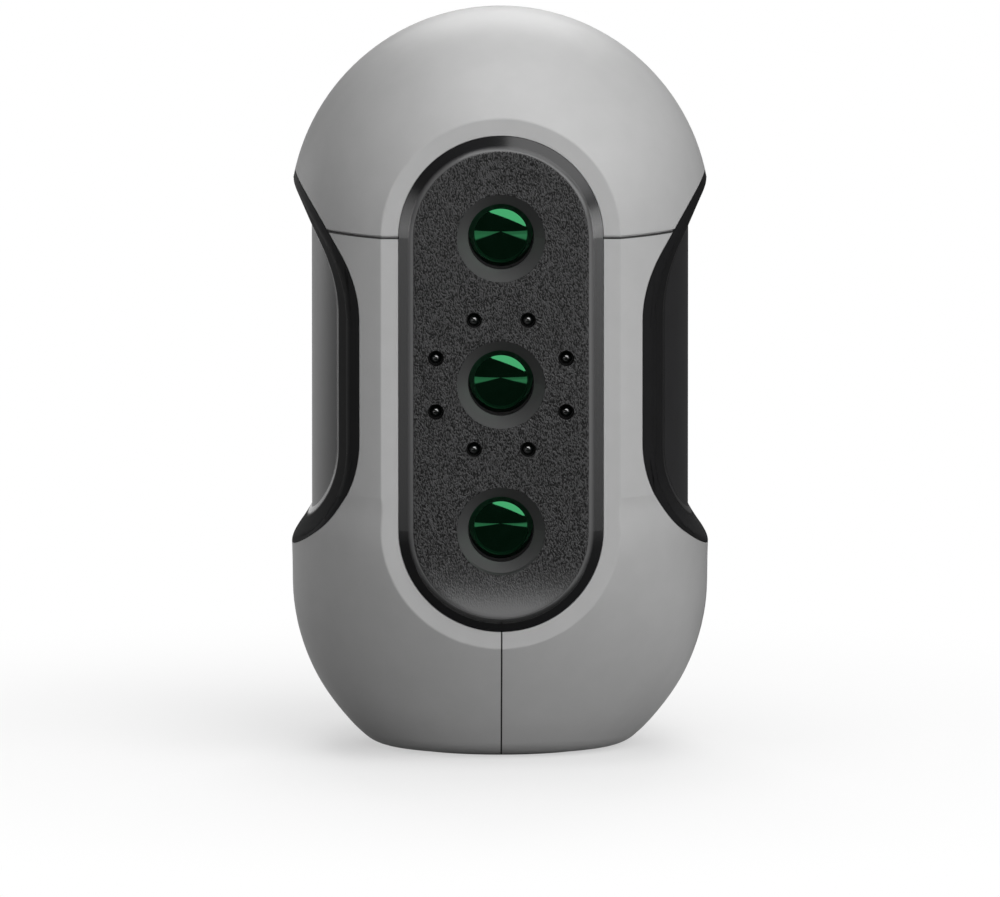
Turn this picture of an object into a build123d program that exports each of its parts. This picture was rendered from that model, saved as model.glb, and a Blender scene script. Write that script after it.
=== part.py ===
from build123d import *
import os
from math import atan, cos, degrees, radians, sin, sqrt, tan

os.makedirs("parts", exist_ok=True)

# A handheld scanner that stands on its base. Millimetres, +Z up, origin at the
# middle of the base, front towards -Y. A depth is a distance in front of the
# upright axis, and a reach is a distance behind it.

# Casing: a capsule turned about Z, cut flat in front and behind
body_radius = 52.5
lower_taper = 0.65
base_radius = 30.75
base_depth = 25.4
base_round = 9.5
dome_rise = 91.0
band_margin = 4.4
rear_band_margin = 15.8
crease_round = 0.8
wall = 2.5
seam_gap = 0.5
side_seam_gap = 0.35
seam_depth = 0.8
casing_sections = 8
casing_blend = 8.0
overcut = 3.0

# Grips: a waisted recess on each side, with a rim and a sunk pad
grip_wrap = 17.4
grip_bow_radius = 143.75
grip_drop = 34.4
grip_straight_up = 13.0
grip_upper_lean = 23.3
grip_lower_lean = 35.0
edge_straight_down = 17.5
edge_upper_flare = 42.0
edge_lower_flare = 43.0
lip_straight_down = 20.5
lip_upper_flare = 48.0
lip_lower_flare = 40.0
grip_depth = 5.5
grip_rim = 2.25
grip_tuck = 3.0
pad_thickness = 2.5
grip_gap = 0.1

# Foot and tripod insert in the base
foot_proud = 0.4
foot_sunk = 1.0
foot_margin = 6.0
foot_hole_margin = 3.0
insert_wall = 1.725
insert_end_wall = 1.0
insert_collar_step = 1.2
insert_collar_height = 2.0
insert_collar_lift = 4.0
insert_thread_radius = 3.275
insert_thread_depth = 8.0
insert_boss_wall = 2.0

# Front panel with its lens funnels and ring of lamps
funnel_spacing = 11.45
panel_border = 7.9
panel_raise = 2.0
panel_bevel = 3.5
panel_ridge_round = 4.0
panel_seat = 1.2
panel_gap = 0.15
panel_ledge = 3.0
panel_skirt = 1.5
panel_skirt_depth = 2.0
throat_cover = 0.4
funnel_flare = 2.8
funnel_depth = 4.0
funnel_wall = 1.6
throat_lip = 0.5
nose_depth = 1.5
lamp_count = 8
lamp_gap = 4.9
lamp_radius = 1.5
lamp_length = 5.8
lamp_hole_gap = 0.5
lamp_sunk = 1.0
lamp_board_thickness = 1.2
lamp_board_margin = 2.9
lamp_post_wall = 0.55

# Optics: three units on one frame
lens_radius = 8.6
lens_rim = 1.0
barrel_wall = 1.6
lens_edge = 0.8
lens_crown = 3.4
lens_sunk = 0.2
turned_gap = 0.05
nose_gap = 0.1
frame_clear = 0.5
frame_thickness = 4.0
mount_flange_width = 1.9
mount_flange_thickness = 1.5
mount_wall = 1.05
mount_length = 8.0
sensor_board_margin = 0.9
board_thickness = 1.6
sensor_side = 8.0
sensor_thickness = 0.8
barrel_rest = 1.0
relief_width = 16.0
relief_height = 5.0

# Screws and the bosses that take them
screw_radius = 1.0
screw_head_overhang = 0.9
screw_head_height = 1.2
screw_length = 8.0
screw_clearance = 0.15
pilot_gap = 0.05
boss_wall = 1.55
boss_root = 0.5
boss_angle = 35.0
short_screw_length = 4.0

# Heat sink and main board behind the optics
sink_overhang = 1.0
sink_base = 2.0
sink_fin_height = 8.0
sink_fin_thickness = 1.4
sink_fin_count = 6
sink_clear = 2.8
main_board_height = 96.0
board_corner = 2.0
standoff_wall = 1.2
standoff_margin = 4.0
standoff_inset = 18.0
processor_side = 18.0
memory_width = 8.0
memory_height = 12.0
memory_gap = 1.5
chip_margin = 2.5
chip_thickness = 1.6
chip_rise = 8.0

# Rear panel, buttons and cable socket
rear_panel_margin = 6.0
rear_panel_raise = 0.4
rear_panel_edge = 0.3
rear_ledge = 3.0
scan_button_radius = 8.0
small_button_radius = 4.5
button_spacing = 3.5
button_proud = 1.0
button_edge = 0.6
button_gap = 0.15
button_flange = 1.2
button_flange_thickness = 1.2
button_back_gap = 0.05
button_stem_radius = 2.0
button_stem_length = 2.5
button_travel = 0.8
switch_clear = 0.1
switch_side = 6.0
switch_height = 2.0
plunger_radius = 1.7
plunger_height = 0.6
button_board_edge = 2.4
button_board_margin = 6.0
button_post_wall = 0.75
button_post_margin = 1.6
button_post_rise = 3.0
light_pipe_radius = 1.5
light_pipe_flange_width = 0.8
light_pipe_flange_thickness = 1.0
light_pipe_room = 2.35
light_pipe_gap = 0.1
socket_bore = 4.6
socket_bore_depth = 8.0
socket_wall = 1.4
socket_flange_width = 1.5
socket_flange_thickness = 1.0
socket_length = 14.0
contact_step = 0.4
contact_block_length = 4.0
contact_count = 6
contact_radius = 0.5
contact_ring_radius = 2.4
contact_depth = 3.0
socket_nut_wall = 2.6
socket_nut_thickness = 3.0
lead_radius = 2.2
plug_inset = 11.9
plug_width = 10.0
plug_height = 7.0
plug_depth = 6.0

# Screws, bosses and posts, from the screw's shank outward
screw_pass = screw_radius + screw_clearance
screw_pilot = screw_radius + pilot_gap
screw_head_radius = screw_radius + screw_head_overhang
boss_radius = screw_pilot + boss_wall
lamp_post_radius = screw_pilot + lamp_post_wall
button_post_radius = screw_pilot + button_post_wall
standoff_radius = screw_pilot + standoff_wall

# Front widths, from a lens outward to the edge of the flat band
barrel_radius = lens_radius + lens_rim
sleeve_radius = barrel_radius + turned_gap + mount_wall
mount_flange = sleeve_radius + mount_flange_width
sensor_board_side = 2 * (sleeve_radius + sensor_board_margin)
sink_side = sensor_board_side + 2 * sink_overhang
funnel_throat = lens_radius - throat_cover
funnel_mouth = funnel_throat + funnel_flare
funnel_radius = funnel_mouth + funnel_wall
lens_pitch = 2 * funnel_radius + funnel_spacing
lamp_hole = lamp_radius + lamp_hole_gap
lamp_ring_radius = funnel_radius + lamp_gap
panel_half_width = lamp_ring_radius + panel_border
opening_half_width = panel_half_width - panel_ledge
band_half_width = panel_half_width + band_margin

# Rear widths, from a button or the socket outward
rear_panel_half_width = scan_button_radius + rear_panel_margin
rear_opening_half_width = rear_panel_half_width - rear_ledge
rear_band_half_width = rear_panel_half_width + rear_band_margin
button_pitch = scan_button_radius + small_button_radius + button_spacing
button_post_x = rear_opening_half_width - button_post_radius - button_post_margin
button_post_z = scan_button_radius + button_post_rise
light_pipe_flange = light_pipe_radius + light_pipe_flange_width
socket_radius = socket_bore + socket_wall
socket_flange_radius = socket_radius + socket_flange_width
socket_nut_radius = socket_radius + socket_nut_wall
contact_seat = socket_bore - contact_step

# Main board, round its chips
memory_x = processor_side / 2 + memory_gap + memory_width / 2
main_board_width = 2 * (memory_x + memory_width / 2 + chip_margin)
standoff_x = main_board_width / 2 - standoff_margin
standoff_z = main_board_height / 2 - standoff_inset

# Tripod insert, from its thread outward
insert_radius = insert_thread_radius + insert_wall
insert_height = insert_thread_depth + insert_end_wall
insert_collar_radius = insert_radius + insert_collar_step
foot_hole = insert_radius + foot_hole_margin

# Heights
casing_bottom = foot_proud
lower_radius = body_radius - lower_taper
lower_centre_z = casing_bottom + sqrt(lower_radius**2 - base_radius**2)
dome_centre_z = lower_centre_z + dome_rise
lens_heights = [dome_centre_z - lens_pitch * step for step in range(3)]
upper_lens_z, middle_lens_z, lower_lens_z = lens_heights
blend_top_z = lower_lens_z + casing_blend
grip_waist_z = dome_centre_z - grip_drop
scan_button_z = grip_waist_z
button_heights = [scan_button_z + button_pitch, scan_button_z, scan_button_z - button_pitch]
socket_z = lower_centre_z
light_pipe_z = (button_heights[2] + socket_z) / 2
plug_z = middle_lens_z - main_board_height / 2 + plug_inset

# Depths of the front stack
front_flat = sqrt(body_radius**2 - band_half_width**2)
panel_front = front_flat + panel_raise
panel_back = front_flat - panel_seat
funnel_back = panel_front - funnel_depth
lip_back = funnel_back - throat_lip
funnel_boss_back = lip_back - nose_depth
barrel_front = lip_back - nose_gap
lens_front = barrel_front - lens_sunk
lens_back = lens_front - lens_crown - lens_edge
lamp_tip = panel_front - lamp_sunk
lamp_board_front = lamp_tip - lamp_length
lamp_board_back = lamp_board_front - lamp_board_thickness
frame_front = lamp_board_back - screw_head_height - frame_clear
frame_back = frame_front - frame_thickness
mount_back = frame_front - mount_length
barrel_back = mount_back + barrel_rest
sensor_board_back = mount_back - board_thickness
sink_back = sensor_board_back - sink_base - sink_fin_height
main_board_front = sink_back - sink_clear
main_board_back = main_board_front - board_thickness

# Reaches of the rear stack
rear_flat = sqrt(body_radius**2 - rear_band_half_width**2)
rear_panel_face = rear_flat + rear_panel_raise
rear_panel_back = rear_flat - panel_seat
flange_back = rear_panel_back - button_back_gap - button_flange_thickness
stem_end = flange_back - button_stem_length
button_board_face = stem_end - button_travel - switch_clear - plunger_height - switch_height
light_pipe_back = button_board_face + light_pipe_room
socket_back = rear_panel_face - socket_length
socket_mouth = rear_panel_face + socket_flange_thickness
bore_end = socket_mouth - socket_bore_depth
contact_back = bore_end - contact_block_length

# Where the frame is screwed to the casing
inner_band = sqrt((body_radius - wall) ** 2 - (front_flat - wall) ** 2)
boss_ring = (opening_half_width + inner_band) / 2
boss_x = boss_ring * cos(radians(boss_angle))
boss_lift = boss_ring * sin(radians(boss_angle))
cap_boss_points = [(-boss_x, upper_lens_z + boss_lift), (boss_x, upper_lens_z + boss_lift)]
left_boss_points = [(-boss_ring, middle_lens_z), (-boss_x, lower_lens_z - boss_lift)]
right_boss_points = [(boss_ring, middle_lens_z), (boss_x, lower_lens_z - boss_lift)]
boss_points = cap_boss_points + left_boss_points + right_boss_points

corner = (Align.MIN, Align.MIN)
on_base = (Align.CENTER, Align.CENTER, Align.MIN)


def facing(depth):
    """The plane at a depth that faces forward."""
    return Plane.XZ.offset(depth)


def facing_back(reach):
    """The plane at a reach that faces backward."""
    return Plane(origin=(0, reach, 0), x_dir=(-1, 0, 0), z_dir=(0, 1, 0))


def turning(height):
    """A plane through a lens axis: x is a radius and y is a depth."""
    return Plane(origin=(0, 0, height), x_dir=(1, 0, 0), z_dir=(0, 0, -1))


def turning_back(height):
    """A plane through an axis at the rear: x is a radius and y is a reach."""
    return Plane(origin=(0, 0, height), x_dir=(1, 0, 0), z_dir=(0, 0, 1))


def level_axis(height):
    """The axis that runs from front to back at a height."""
    return Axis((0, 0, height), (0, 1, 0))


def finish(name, piece):
    """Name a finished piece and write it."""
    piece.label = name
    export_step(piece, f"parts/{name}.step")


def casing_half_width(height, inset):
    """Half the casing's width at a height, drawn in by inset.

    The casing is a ball below its lower centre, and above it swells a little to the full radius.
    """
    if height <= lower_centre_z:
        return sqrt((lower_radius - inset) ** 2 - (lower_centre_z - height) ** 2)
    climb = min((height - lower_centre_z) / (blend_top_z - lower_centre_z), 1)
    return lower_radius - inset + lower_taper * climb**2 * (3 - 2 * climb)


def casing_front(height, inset):
    """How far forward the casing bulges at a height, before its front is cut flat.

    The flat cut ends below in a half circle round the lower lens, and the chin curves
    back from there to the base.
    """
    flat = front_flat - inset
    band = sqrt((body_radius - inset) ** 2 - flat**2)
    drop = max(lower_lens_z - height, 0)
    if drop <= band:
        chord = sqrt(band**2 - drop**2)
        return flat / sqrt(1 - (chord / casing_half_width(height, inset)) ** 2)
    slope = flat * band / casing_half_width(lower_lens_z - band, inset) ** 2
    chin_height = lower_lens_z - band - casing_bottom - inset
    curl = flat - (base_depth - inset) - slope * chin_height
    fall = drop - band
    return flat - slope * fall - curl * (fall / chin_height) ** 2


def casing_section(height, inset):
    """The casing's outline at a height: half an ellipse in front, half a circle behind."""
    half_width = casing_half_width(height, inset)
    with BuildSketch(Plane.XY.offset(height)) as section:
        with BuildLine():
            EllipticalCenterArc((0, 0), half_width, casing_front(height, inset), 180, arc_size=180)
            CenterArc((0, 0), half_width, 0, 180)
        make_face()
    return section.sketch


def cut_flats(inset):
    """Cut the form in hand flat in front and behind."""
    split(bisect_by=facing(front_flat - inset), keep=Keep.BOTTOM)
    split(bisect_by=facing_back(rear_flat - inset), keep=Keep.BOTTOM)


def barrel_form(inset):
    """The solid form of the casing below its seam, drawn in by inset."""
    bottom = casing_bottom + inset
    rise = lower_lens_z - bottom
    heights = [bottom + rise * step / casing_sections for step in range(casing_sections + 1)]
    with BuildPart() as form:
        loft([casing_section(height, inset) for height in heights + [blend_top_z]])
        with BuildSketch(Plane.XY.offset(blend_top_z)):
            Circle(body_radius - inset)
        extrude(amount=dome_centre_z - blend_top_z)
        cut_flats(inset)
    return form.part


def dome_form(inset):
    """The solid form of the casing above its seam, drawn in by inset."""
    with BuildPart() as form:
        with Locations((0, 0, dome_centre_z)):
            Sphere(body_radius - inset, arc_size1=0, align=on_base)
        cut_flats(inset)
    return form.part


def whole_form(inset):
    """The solid form of the whole casing, drawn in by inset."""
    with BuildPart() as form:
        add(barrel_form(inset))
        add(dome_form(inset))
    return form.part


def beyond_grip(side, outward, straight_down, upper_flare, lower_flare):
    """All that lies outside a waisted surface round a grip, moved outward.

    The surface is turned about an upright axis on the far side. Its profile is upright at the
    waist and flares out above and below, first in an arc and then straight.
    """
    edge_x = body_radius - grip_wrap
    edge_depth = sqrt(body_radius**2 - edge_x**2)
    axis_x = sqrt(grip_bow_radius**2 - edge_depth**2) - edge_x
    waist = grip_bow_radius + outward
    outer = axis_x + body_radius + overcut
    centre = (-side * axis_x, 0, grip_waist_z)
    with BuildPart() as beyond:
        with BuildSketch(Plane(origin=centre, x_dir=(side, 0, 0), z_dir=(0, -side, 0))):
            with BuildLine():
                upright = Line((waist, -straight_down), (waist, grip_straight_up))
                upper = JernArc(upright @ 1, (0, 1), upper_flare, -grip_upper_lean)
                lower = JernArc(upright @ 0, (0, -1), lower_flare, grip_lower_lean)
                top = (upper @ 1).Y + (outer - (upper @ 1).X) / tan(radians(grip_upper_lean))
                bottom = (lower @ 1).Y - (outer - (lower @ 1).X) / tan(radians(grip_lower_lean))
                Polyline(upper @ 1, (outer, top), (outer, bottom), lower @ 1)
            make_face()
        revolve(axis=Axis(centre, (0, 0, 1)))
    return beyond.part


def beyond_edge(side, outward):
    """All that lies outside the casing's edge round a grip, moved outward."""
    return beyond_grip(side, outward, edge_straight_down, edge_upper_flare, edge_lower_flare)


def beyond_lip(side):
    """All that lies inside the lip of a grip's rim, where the pad shows."""
    return beyond_grip(side, grip_rim, lip_straight_down, lip_upper_flare, lip_lower_flare)


def panel_slot(depth, half_width):
    """The front panel's outline at a depth: a slot round the three lenses."""
    with BuildSketch(facing(depth)) as slot:
        with Locations((0, middle_lens_z)):
            SlotCenterToCenter(2 * lens_pitch, 2 * half_width, rotation=90)
    return slot.sketch


def rear_slot(reach, half_width):
    """The rear panel's outline at a reach: a slot from the socket to the top button."""
    top = button_heights[0]
    with BuildSketch(facing_back(reach)) as slot:
        with Locations((0, (top + socket_z) / 2)):
            SlotCenterToCenter(top - socket_z, 2 * half_width, rotation=90)
    return slot.sketch


def cut_panel_seats():
    """Cut the seats and openings of both panels out of the shell in hand."""
    seat_cut = panel_seat + overcut
    opening_cut = wall + 2 * overcut
    front_seat = panel_slot(panel_back, panel_half_width + panel_gap)
    front_opening = panel_slot(front_flat - wall - overcut, opening_half_width)
    rear_seat = rear_slot(rear_panel_back, rear_panel_half_width + panel_gap)
    rear_opening = rear_slot(rear_flat - wall - overcut, rear_opening_half_width)
    extrude(front_seat, amount=seat_cut, mode=Mode.SUBTRACT)
    extrude(front_opening, amount=opening_cut, mode=Mode.SUBTRACT)
    extrude(rear_seat, amount=seat_cut, mode=Mode.SUBTRACT)
    extrude(rear_opening, amount=opening_cut, mode=Mode.SUBTRACT)


def discs(plane, points, radius):
    """Circles of one radius at points of a plane."""
    with BuildSketch(plane) as circles:
        with Locations(*points):
            Circle(radius)
    return circles.sketch


def add_bosses(points):
    """Stand screw bosses on the front wall of the shell in hand."""
    length = front_flat - wall - frame_front
    extrude(discs(facing(frame_front), points, boss_radius), amount=length + boss_root)
    extrude(discs(facing(frame_front), points, screw_pilot), amount=length, mode=Mode.SUBTRACT)


# Top cap, with a shadow groove along its seam
with BuildPart() as cap_groove:
    with Locations((0, 0, dome_centre_z)):
        Cylinder(body_radius + overcut, seam_gap, align=on_base)
    add(dome_form(seam_depth), mode=Mode.SUBTRACT)

with BuildPart() as top_cap:
    add(dome_form(0))
    creases = top_cap.edges().filter_by(GeomType.CIRCLE).sort_by(Axis.Y)
    fillet([creases[0], creases[-1]], crease_round)
    add(dome_form(wall), mode=Mode.SUBTRACT)
    add(cap_groove.part, mode=Mode.SUBTRACT)
    cut_panel_seats()
    add(beyond_edge(-1, 0), mode=Mode.SUBTRACT)
    add(beyond_edge(1, 0), mode=Mode.SUBTRACT)
    add_bosses(cap_boss_points)
finish("top_cap", top_cap.part)

# Lower casing, cut into two shells at the middle, with a shadow groove down the seam
with BuildPart() as side_groove:
    groove_width = 2 * (body_radius + overcut)
    with Locations((side_seam_gap / 2, 0, 0)):
        Box(side_seam_gap, groove_width, dome_centre_z, align=on_base)
    add(barrel_form(seam_depth), mode=Mode.SUBTRACT)


def foot_outline(height, margin):
    """The foot's outline, set in from the edge of the base."""
    base_front = casing_front(casing_bottom, 0) - margin
    with BuildSketch(Plane.XY.offset(height)) as outline:
        with BuildLine():
            EllipticalCenterArc((0, 0), base_radius - margin, base_front, 180, arc_size=180)
            CenterArc((0, 0), base_radius - margin, 0, 180)
        make_face()
        Circle(foot_hole, mode=Mode.SUBTRACT)
    return outline.sketch


def collar_space(gap):
    """The tripod insert's body and collar, let out by gap."""
    with BuildPart() as space:
        with Locations((0, 0, casing_bottom)):
            Cylinder(insert_radius + gap, insert_height + gap, align=on_base)
        with Locations((0, 0, casing_bottom + insert_collar_lift - gap)):
            Cylinder(insert_collar_radius + gap, insert_collar_height + 2 * gap, align=on_base)
    return space.part


with BuildPart() as lower_casing:
    add(barrel_form(0))
    base_edges = lower_casing.faces().sort_by(Axis.Z)[0].edges()
    fillet(base_edges, base_round)
    flats = lower_casing.faces().filter_by(GeomType.PLANE).sort_by(Axis.Y)
    flat_edges = flats[0].edges() + flats[-1].edges()
    fillet(flat_edges.filter_by_position(Axis.Z, casing_bottom, dome_centre_z - seam_gap), crease_round)
    add(barrel_form(wall), mode=Mode.SUBTRACT)
    with Locations((0, 0, casing_bottom + wall / 2)):
        Cylinder(insert_collar_radius + insert_boss_wall, insert_height, align=on_base)
    add(collar_space(turned_gap), mode=Mode.SUBTRACT)
    extrude(foot_outline(casing_bottom, foot_margin - panel_gap), amount=foot_sunk, mode=Mode.SUBTRACT)
    cut_panel_seats()
    add(beyond_edge(-1, 0), mode=Mode.SUBTRACT)
    add(beyond_edge(1, 0), mode=Mode.SUBTRACT)

with BuildPart() as left_shell:
    add(lower_casing.part)
    split(bisect_by=Plane.YZ, keep=Keep.BOTTOM)
    add_bosses(left_boss_points)
finish("left_shell", left_shell.part)

with BuildPart() as right_shell:
    add(lower_casing.part)
    split(bisect_by=Plane.YZ, keep=Keep.TOP)
    add_bosses(right_boss_points)
    add(side_groove.part, mode=Mode.SUBTRACT)
finish("right_shell", right_shell.part)

# Rubber foot
with BuildPart() as base_foot:
    extrude(foot_outline(0, foot_margin), amount=foot_proud + foot_sunk)
finish("base_foot", base_foot.part)

# Threaded tripod insert
with BuildPart() as tripod_insert:
    add(collar_space(0))
    with Locations((0, 0, casing_bottom)):
        Cylinder(insert_thread_radius, insert_thread_depth, align=on_base, mode=Mode.SUBTRACT)
finish("tripod_insert", tripod_insert.part)


def grip_rim_piece(side):
    """The rim round a grip: a lip that shows, and a flange tucked under the shell."""
    with BuildPart() as flange:
        add(whole_form(wall + grip_gap))
        add(beyond_edge(side, -grip_tuck), mode=Mode.INTERSECT)
        add(beyond_lip(side), mode=Mode.SUBTRACT)
    with BuildPart() as rim:
        add(whole_form(0))
        add(beyond_edge(side, grip_gap), mode=Mode.INTERSECT)
        add(beyond_lip(side), mode=Mode.SUBTRACT)
        add(flange.part)
        with Locations((0, 0, casing_bottom)):
            Cylinder(
                body_radius - grip_depth + grip_gap / 2,
                dome_centre_z + body_radius,
                align=on_base,
                mode=Mode.SUBTRACT,
            )
    return rim.part


def grip_pad(side):
    """The sunk pad of a grip: a piece of tube whose edges run under the rim."""
    pad_radius = body_radius - grip_depth
    with BuildPart() as pad:
        with Locations((0, 0, casing_bottom)):
            Cylinder(pad_radius, dome_centre_z + body_radius, align=on_base)
            Cylinder(
                pad_radius - pad_thickness,
                dome_centre_z + body_radius,
                align=on_base,
                mode=Mode.SUBTRACT,
            )
        add(beyond_edge(side, -grip_tuck), mode=Mode.INTERSECT)
    return pad.part


for side, word in ((-1, "left"), (1, "right")):
    finish(f"{word}_grip_rim", grip_rim_piece(side))
    finish(f"{word}_grip_pad", grip_pad(side))

# Front panel: a bevelled plate with three lens funnels and a ring of lamp holes
lens_points = [(0, height) for height in lens_heights]
lamp_post_points = [
    (0, middle_lens_z + lamp_ring_radius),
    (0, middle_lens_z - lamp_ring_radius),
]


def lamp_circles(depth, radius):
    """Circles at the lamps' places, midway between the upright and level lines."""
    with BuildSketch(facing(depth)) as circles:
        with Locations((0, middle_lens_z)):
            with PolarLocations(lamp_ring_radius, lamp_count, start_angle=180 / lamp_count):
                Circle(radius)
    return circles.sketch


with BuildPart() as front_panel:
    extrude(panel_slot(panel_back, panel_half_width), amount=panel_front - panel_back)
    front_edges = front_panel.faces().sort_by(Axis.Y)[0].edges()
    chamfer(front_edges, panel_raise, panel_bevel)
    ridge_edges = front_panel.faces().sort_by(Axis.Y)[0].edges()
    fillet(ridge_edges, panel_ridge_round)
    skirt_half_width = opening_half_width - panel_gap
    extrude(panel_slot(panel_back - panel_skirt_depth, skirt_half_width), amount=panel_skirt_depth)
    extrude(
        panel_slot(panel_back - panel_skirt_depth, skirt_half_width - panel_skirt),
        amount=panel_skirt_depth,
        mode=Mode.SUBTRACT,
    )
    funnel_bosses = discs(facing(funnel_boss_back), lens_points, funnel_radius)
    extrude(funnel_bosses, amount=panel_back - funnel_boss_back)
    lamp_posts = discs(facing(lamp_board_front), lamp_post_points, lamp_post_radius)
    extrude(lamp_posts, amount=panel_back - lamp_board_front)
    funnel_angle = degrees(atan((funnel_mouth - funnel_throat) / funnel_depth))
    extrude(
        discs(facing(panel_front), lens_points, funnel_mouth),
        amount=-funnel_depth,
        taper=funnel_angle,
        mode=Mode.SUBTRACT,
    )
    extrude(discs(facing(lip_back), lens_points, funnel_throat), amount=throat_lip, mode=Mode.SUBTRACT)
    extrude(
        discs(facing(funnel_boss_back), lens_points, barrel_radius + nose_gap),
        amount=nose_depth,
        mode=Mode.SUBTRACT,
    )
    extrude(lamp_circles(panel_back, lamp_hole), amount=panel_front - panel_back, mode=Mode.SUBTRACT)
    extrude(
        discs(facing(lamp_board_front), lamp_post_points, screw_pilot),
        amount=short_screw_length - lamp_board_thickness + nose_gap,
        mode=Mode.SUBTRACT,
    )
finish("front_panel", front_panel.part)

# Ring of lamps on its board
with BuildPart() as lamp_board:
    with BuildSketch(facing(lamp_board_back)):
        with Locations((0, middle_lens_z)):
            Circle(lamp_ring_radius + lamp_board_margin)
            Circle(funnel_radius + nose_gap, mode=Mode.SUBTRACT)
        with Locations(*lamp_post_points):
            Circle(screw_pass, mode=Mode.SUBTRACT)
    extrude(amount=lamp_board_thickness)
finish("lamp_board", lamp_board.part)

with BuildPart() as ring_lamps:
    extrude(lamp_circles(lamp_board_front, lamp_radius), amount=lamp_length)
    dome_edges = ring_lamps.edges().group_by(Axis.Y)[0]
    fillet(dome_edges, lamp_radius - turned_gap)
finish("ring_lamps", ring_lamps.part)


def screws(points, depth, length):
    """Pan-head screws that point forward, with their heads seated at a depth."""
    with BuildPart() as group:
        heads = discs(facing(depth - screw_head_height), points, screw_head_radius)
        extrude(heads, amount=screw_head_height)
        head_edges = group.edges().group_by(Axis.Y)[-1]
        fillet(head_edges, screw_head_height / 2)
        extrude(discs(facing(depth), points, screw_radius), amount=length)
    return group.part


finish("lamp_board_screws", screws(lamp_post_points, lamp_board_back, short_screw_length))

# Optical frame that carries the three units
standoff_points = [
    (x, middle_lens_z + z)
    for x in (-standoff_x, standoff_x)
    for z in (-standoff_z, standoff_z)
]

with BuildPart() as optical_frame:
    extrude(panel_slot(frame_back, boss_ring + boss_radius), amount=frame_thickness)
    extrude(
        discs(facing(frame_back), lens_points, sleeve_radius + turned_gap),
        amount=frame_thickness,
        mode=Mode.SUBTRACT,
    )
    boss_holes = discs(facing(frame_back), boss_points, screw_pass)
    extrude(boss_holes, amount=frame_thickness, mode=Mode.SUBTRACT)
    with BuildSketch(facing(frame_back)):
        with Locations((0, middle_lens_z)):
            with GridLocations(0, lens_pitch, 1, 2):
                SlotOverall(relief_width, relief_height)
    extrude(amount=frame_thickness, mode=Mode.SUBTRACT)
finish("optical_frame", optical_frame.part)
finish("frame_screws", screws(boss_points, frame_back, screw_length))


def lens(height):
    """A lens with a crowned front."""
    with BuildPart() as glass:
        with BuildSketch(turning(height)):
            with BuildLine():
                crown = TangentArc((0, lens_front), (lens_radius, lens_back + lens_edge), tangent=(1, 0))
                Polyline(crown @ 1, (lens_radius, lens_back), (0, lens_back), crown @ 0)
            make_face()
        revolve(axis=level_axis(height))
    return glass.part


def lens_barrel(height):
    """A lens barrel, bored out in front for its lens."""
    light_path = barrel_radius - barrel_wall
    seat = lens_radius + turned_gap
    with BuildPart() as barrel:
        with BuildSketch(turning(height)):
            with Locations((light_path, barrel_back)):
                Rectangle(barrel_wall, barrel_front - barrel_back, align=corner)
            with Locations((light_path, lens_back)):
                Rectangle(seat - light_path, barrel_front - lens_back, align=corner, mode=Mode.SUBTRACT)
        revolve(axis=level_axis(height))
    return barrel.part


def lens_mount(height):
    """A sleeve that holds a barrel, with a flange on the frame's front."""
    bore = barrel_radius + turned_gap
    with BuildPart() as mount:
        with BuildSketch(turning(height)):
            with Locations((bore, mount_back)):
                Rectangle(mount_wall, mount_length + mount_flange_thickness, align=corner)
            with Locations((bore, frame_front)):
                Rectangle(mount_flange - bore, mount_flange_thickness, align=corner)
        revolve(axis=level_axis(height))
    return mount.part


def square_slab(height, side, depth, thickness):
    """A square slab behind a lens, from a depth forward."""
    with BuildPart() as slab:
        with BuildSketch(facing(depth)):
            with Locations((0, height)):
                Rectangle(side, side)
        extrude(amount=thickness)
    return slab.part


unit_names = ["upper", "projector", "lower"]
for word, height in zip(unit_names, lens_heights):
    finish(f"{word}_lens", lens(height))
    finish(f"{word}_lens_barrel", lens_barrel(height))
    finish(f"{word}_lens_mount", lens_mount(height))
    sensor_board = square_slab(height, sensor_board_side, sensor_board_back, board_thickness)
    finish(f"{word}_sensor_board", sensor_board)
    finish(f"{word}_sensor", square_slab(height, sensor_side, mount_back, sensor_thickness))

# Heat sink on the back of the projector's board
with BuildPart() as heat_sink:
    with BuildSketch(facing(sensor_board_back - sink_base)):
        with Locations((0, middle_lens_z)):
            Rectangle(sink_side, sink_side)
    extrude(amount=sink_base)
    fin_pitch = (sink_side - sink_fin_thickness) / (sink_fin_count - 1)
    with BuildSketch(facing(sink_back)):
        with Locations((0, middle_lens_z)):
            with GridLocations(fin_pitch, 0, sink_fin_count, 1):
                Rectangle(sink_fin_thickness, sink_side)
    extrude(amount=sink_fin_height)
finish("heat_sink", heat_sink.part)

# Main board on standoffs behind the frame
with BuildPart() as main_board:
    with BuildSketch(facing(main_board_back)):
        with Locations((0, middle_lens_z)):
            RectangleRounded(main_board_width, main_board_height, board_corner)
        with Locations(*standoff_points):
            Circle(screw_pass, mode=Mode.SUBTRACT)
    extrude(amount=board_thickness)
finish("main_board", main_board.part)

with BuildPart() as board_standoffs:
    posts = discs(facing(main_board_front), standoff_points, standoff_radius)
    extrude(posts, amount=frame_back - main_board_front)
    extrude(
        discs(facing(main_board_front), standoff_points, screw_pilot),
        amount=short_screw_length,
        mode=Mode.SUBTRACT,
    )
finish("board_standoffs", board_standoffs.part)
finish("board_screws", screws(standoff_points, main_board_back, short_screw_length))

with BuildPart() as board_chips:
    with BuildSketch(facing(main_board_back)):
        with Locations((0, middle_lens_z + chip_rise)):
            Rectangle(processor_side, processor_side)
            with GridLocations(2 * memory_x, 0, 2, 1):
                Rectangle(memory_width, memory_height)
    extrude(amount=-chip_thickness)
finish("board_chips", board_chips.part)

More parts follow.
